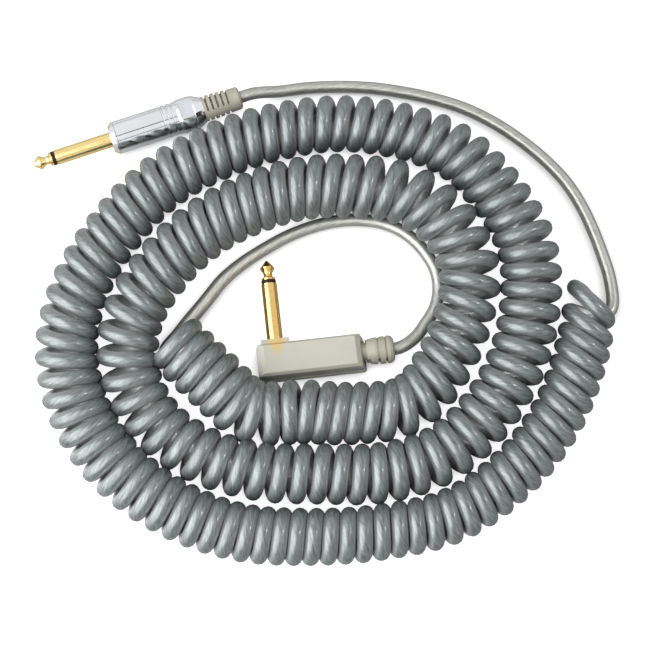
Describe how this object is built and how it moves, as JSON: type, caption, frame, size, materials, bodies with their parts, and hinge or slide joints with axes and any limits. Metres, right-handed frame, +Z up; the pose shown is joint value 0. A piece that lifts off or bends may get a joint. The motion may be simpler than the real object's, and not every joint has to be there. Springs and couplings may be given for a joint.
{
  "type": "instrument cable",
  "caption": "Coiled instrument cable with a straight jack plug on one end and a right-angle jack plug on the other, laid in a flat spiral.",
  "frame": {"origin": "on the surface that the cable lies on, under the middle of the box round both plugs", "axes": "+X towards the side where the outer end of the coils lies, +Z up from the surface"},
  "size_m": [0.2434, 0.2083, 0.024],
  "materials": {
    "gold_plate": "polished gold plate",
    "band_black": "smooth moulded",
    "board_brown": "pressed insulating board",
    "tinned_brass": "stamped and tinned",
    "wire_insulation": "extruded insulation",
    "liner_black": "rolled insulating sheet",
    "chrome": "turned and chrome plated",
    "boot_plastic": "soft moulded plastic",
    "housing_plastic": "moulded, slightly translucent",
    "lead_jacket": "clear jacket over braid",
    "coil_jacket": "clear jacket over braid, glossy"
  },
  "bodies": {
    "cable": {"straight_tip": "gold_plate", "straight_tip_insulator": "band_black", "straight_sleeve": "gold_plate", "straight_rear_insulator": "board_brown", "straight_tip_lug": "tinned_brass", "straight_cord_clamp": "tinned_brass", "straight_wire": "wire_insulation", "angled_tip": "gold_plate", "angled_tip_insulator": "band_black", "angled_sleeve": "gold_plate", "angled_rear_insulator": "board_brown", "angled_tip_lug": "tinned_brass", "angled_cord_clamp": "tinned_brass", "angled_wire": "wire_insulation", "angled_housing": "housing_plastic", "angled_boot": "boot_plastic", "straight_lead": "lead_jacket", "curly_cord": "coil_jacket", "angled_lead": "lead_jacket"},
    "liner": {"straight_liner": "liner_black"},
    "barrel": {"straight_barrel": "chrome", "straight_collar": "chrome", "straight_boot": "boot_plastic"}
  },
  "joints": [
    {"name": "barrel_travel", "type": "slide", "parent": "cable", "child": "liner", "axis": [0.9421, 0.3355, 0], "range_m": [0, 0.0046]},
    {"name": "barrel_turn", "type": "hinge", "parent": "liner", "child": "barrel", "pos_m": [-0.0423, 0.0403, 0.0075], "axis": [0.9421, 0.3355, 0], "range_deg": [0, 2160]}
  ],
  "couplings": [
    {"joint": "barrel_travel", "follows": "barrel_turn", "m_per_rad": 0.00011937}
  ]
}
